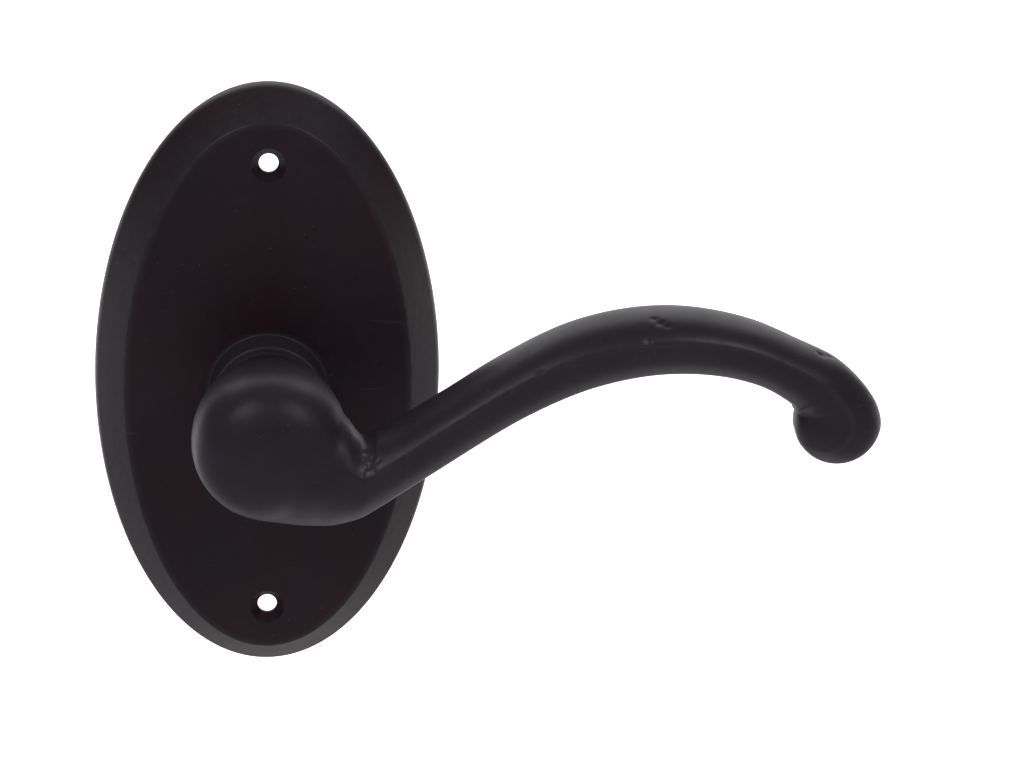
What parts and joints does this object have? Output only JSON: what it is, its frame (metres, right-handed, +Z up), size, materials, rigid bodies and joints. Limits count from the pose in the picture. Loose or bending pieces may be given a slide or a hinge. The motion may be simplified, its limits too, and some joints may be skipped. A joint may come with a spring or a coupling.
{
  "type": "door lever handle",
  "caption": "Sprung door lever on a bevelled oval rose: a rounded hub, an arched arm with a crest line and a scroll end, a spring cassette and a square spindle.",
  "frame": {"origin": "on the spindle axis, at the door's face: midway between the two screw holes, in the plane of the rose's back rim", "axes": "-Y points out of the door to the person who uses it, +X runs along the arm to its scroll, +Z is up; the spindle's axis is Y"},
  "size_m": [0.1767, 0.1055, 0.142],
  "materials": {
    "cast_bronze": "dark oil-rubbed patina, satin, over sand-cast bronze",
    "bush_bronze": "turned bronze",
    "plated_steel": "zinc plated",
    "black_steel": "blackened spring steel",
    "spring_wire": "drawn spring wire, oiled",
    "cast_zinc": "die-cast zinc, dull",
    "nylon": "natural nylon",
    "stop_rubber": "moulded rubber"
  },
  "bodies": {
    "rose": {"rose_plate": "cast_bronze", "neck_bush": "bush_bronze", "thrust_washer": "nylon", "return_spring": "spring_wire", "spring_post": "plated_steel", "stop_pins": "plated_steel", "stop_sleeves": "stop_rubber", "cassette_case": "cast_zinc", "case_screws": "plated_steel", "back_cover": "cast_zinc", "cover_screws": "plated_steel", "rear_bush": "nylon", "wave_washer": "black_steel"},
    "lever": {"lever": "cast_bronze", "grub_screw": "black_steel", "drive_cam": "plated_steel", "cam_clip": "black_steel", "retaining_washer": "plated_steel", "circlip": "black_steel", "spindle": "plated_steel"}
  },
  "joints": [
    {"name": "lever_turn", "type": "hinge", "parent": "rose", "child": "lever", "pos_m": [0, 0, 0], "axis": [0, 1, 0], "range_deg": [0, 50], "stiffness_Nm_per_rad": 1.2, "springref_deg": -34.38, "deforming": ["return_spring"]}
  ]
}
